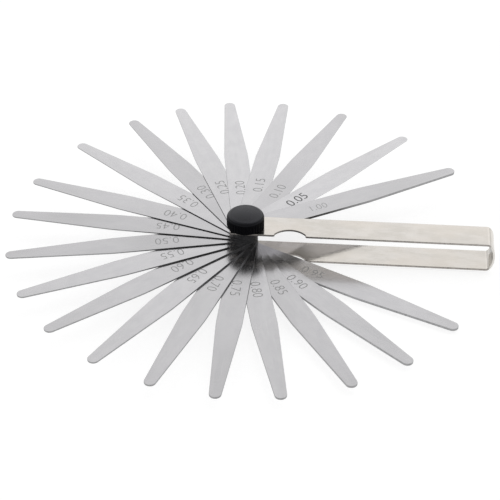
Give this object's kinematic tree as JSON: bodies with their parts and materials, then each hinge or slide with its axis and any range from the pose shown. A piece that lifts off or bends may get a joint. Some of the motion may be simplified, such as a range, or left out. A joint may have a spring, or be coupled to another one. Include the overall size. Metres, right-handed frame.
{
  "type": "feeler gauge",
  "caption": "Hand feeler gauge: stacked spring-steel thickness blades fan out on one pivot from a folded metal sheath, clamped by a round serrated knob.",
  "frame": {"origin": "on the pivot's axis, in the plane of the lower arm's underside, at the centre of the stud's flush head", "axes": "+X from the pivot along the sheath to its bend, +Z along the pivot from the underside up to the knob, so the thumb notches are in the -Y side"},
  "size_m": [0.1933, 0.1895, 0.0185],
  "materials": {
    "nickel_plate": "polished",
    "blade_steel": "polished",
    "stud_steel": "satin",
    "brass": "satin",
    "black_plastic": "satin",
    "etched_mark": "matte"
  },
  "bodies": {
    "sheath": {"sheath": "nickel_plate", "pivot_stud": "stud_steel"},
    "blade_1_00": {"blade_1_00": "blade_steel"},
    "blade_0_05": {"blade_0_05": "blade_steel"},
    "blade_0_10": {"blade_0_10": "blade_steel"},
    "blade_0_15": {"blade_0_15": "blade_steel"},
    "blade_0_20": {"blade_0_20": "blade_steel"},
    "blade_0_25": {"blade_0_25": "blade_steel"},
    "blade_0_30": {"blade_0_30": "blade_steel"},
    "blade_0_35": {"blade_0_35": "blade_steel"},
    "blade_0_40": {"blade_0_40": "blade_steel"},
    "blade_0_45": {"blade_0_45": "blade_steel"},
    "blade_0_50": {"blade_0_50": "blade_steel"},
    "blade_0_55": {"blade_0_55": "blade_steel"},
    "blade_0_60": {"blade_0_60": "blade_steel"},
    "blade_0_65": {"blade_0_65": "blade_steel"},
    "blade_0_70": {"blade_0_70": "blade_steel"},
    "blade_0_75": {"blade_0_75": "blade_steel"},
    "blade_0_80": {"blade_0_80": "blade_steel"},
    "blade_0_85": {"blade_0_85": "blade_steel"},
    "blade_0_90": {"blade_0_90": "blade_steel"},
    "blade_0_95": {"blade_0_95": "blade_steel"},
    "insert": {"threaded_insert": "brass"},
    "knob": {"clamp_knob": "black_plastic"}
  },
  "joints": [
    {"name": "blade_1_00_turn", "type": "hinge", "parent": "sheath", "child": "blade_1_00", "pos_m": [0, 0, 0], "axis": [0, 0, 1], "range_deg": [-29.5, 330.5]},
    {"name": "blade_0_05_turn", "type": "hinge", "parent": "sheath", "child": "blade_0_05", "pos_m": [0, 0, 0], "axis": [0, 0, 1], "range_deg": [-48.7, 311.3]},
    {"name": "blade_0_10_turn", "type": "hinge", "parent": "sheath", "child": "blade_0_10", "pos_m": [0, 0, 0], "axis": [0, 0, 1], "range_deg": [-68, 292]},
    {"name": "blade_0_15_turn", "type": "hinge", "parent": "sheath", "child": "blade_0_15", "pos_m": [0, 0, 0], "axis": [0, 0, 1], "range_deg": [-84.5, 275.5]},
    {"name": "blade_0_20_turn", "type": "hinge", "parent": "sheath", "child": "blade_0_20", "pos_m": [0, 0, 0], "axis": [0, 0, 1], "range_deg": [-99, 261]},
    {"name": "blade_0_25_turn", "type": "hinge", "parent": "sheath", "child": "blade_0_25", "pos_m": [0, 0, 0], "axis": [0, 0, 1], "range_deg": [-112.5, 247.5]},
    {"name": "blade_0_30_turn", "type": "hinge", "parent": "sheath", "child": "blade_0_30", "pos_m": [0, 0, 0], "axis": [0, 0, 1], "range_deg": [-126, 234]},
    {"name": "blade_0_35_turn", "type": "hinge", "parent": "sheath", "child": "blade_0_35", "pos_m": [0, 0, 0], "axis": [0, 0, 1], "range_deg": [-143, 217]},
    {"name": "blade_0_40_turn", "type": "hinge", "parent": "sheath", "child": "blade_0_40", "pos_m": [0, 0, 0], "axis": [0, 0, 1], "range_deg": [-162, 198]},
    {"name": "blade_0_45_turn", "type": "hinge", "parent": "sheath", "child": "blade_0_45", "pos_m": [0, 0, 0], "axis": [0, 0, 1], "range_deg": [-176.5, 183.5]},
    {"name": "blade_0_50_turn", "type": "hinge", "parent": "sheath", "child": "blade_0_50", "pos_m": [0, 0, 0], "axis": [0, 0, 1], "range_deg": [-193, 167]},
    {"name": "blade_0_55_turn", "type": "hinge", "parent": "sheath", "child": "blade_0_55", "pos_m": [0, 0, 0], "axis": [0, 0, 1], "range_deg": [-208.5, 151.5]},
    {"name": "blade_0_60_turn", "type": "hinge", "parent": "sheath", "child": "blade_0_60", "pos_m": [0, 0, 0], "axis": [0, 0, 1], "range_deg": [-223, 137]},
    {"name": "blade_0_65_turn", "type": "hinge", "parent": "sheath", "child": "blade_0_65", "pos_m": [0, 0, 0], "axis": [0, 0, 1], "range_deg": [-238, 122]},
    {"name": "blade_0_70_turn", "type": "hinge", "parent": "sheath", "child": "blade_0_70", "pos_m": [0, 0, 0], "axis": [0, 0, 1], "range_deg": [-253, 107]},
    {"name": "blade_0_75_turn", "type": "hinge", "parent": "sheath", "child": "blade_0_75", "pos_m": [0, 0, 0], "axis": [0, 0, 1], "range_deg": [-268, 92]},
    {"name": "blade_0_80_turn", "type": "hinge", "parent": "sheath", "child": "blade_0_80", "pos_m": [0, 0, 0], "axis": [0, 0, 1], "range_deg": [-282.5, 77.5]},
    {"name": "blade_0_85_turn", "type": "hinge", "parent": "sheath", "child": "blade_0_85", "pos_m": [0, 0, 0], "axis": [0, 0, 1], "range_deg": [-299, 61]},
    {"name": "blade_0_90_turn", "type": "hinge", "parent": "sheath", "child": "blade_0_90", "pos_m": [0, 0, 0], "axis": [0, 0, 1], "range_deg": [-314.5, 45.5]},
    {"name": "blade_0_95_turn", "type": "hinge", "parent": "sheath", "child": "blade_0_95", "pos_m": [0, 0, 0], "axis": [0, 0, 1], "range_deg": [-332, 28]},
    {"name": "knob_lift", "type": "slide", "parent": "sheath", "child": "insert", "axis": [0, 0, 1], "range_m": [0, 0.0014]},
    {"name": "knob_turn", "type": "hinge", "parent": "insert", "child": "knob", "pos_m": [0, 0, 0.0127], "axis": [0, 0, 1], "range_deg": [0, 720]}
  ],
  "couplings": [
    {"joint": "knob_turn", "follows": "knob_lift", "rad_per_m": 8975}
  ]
}
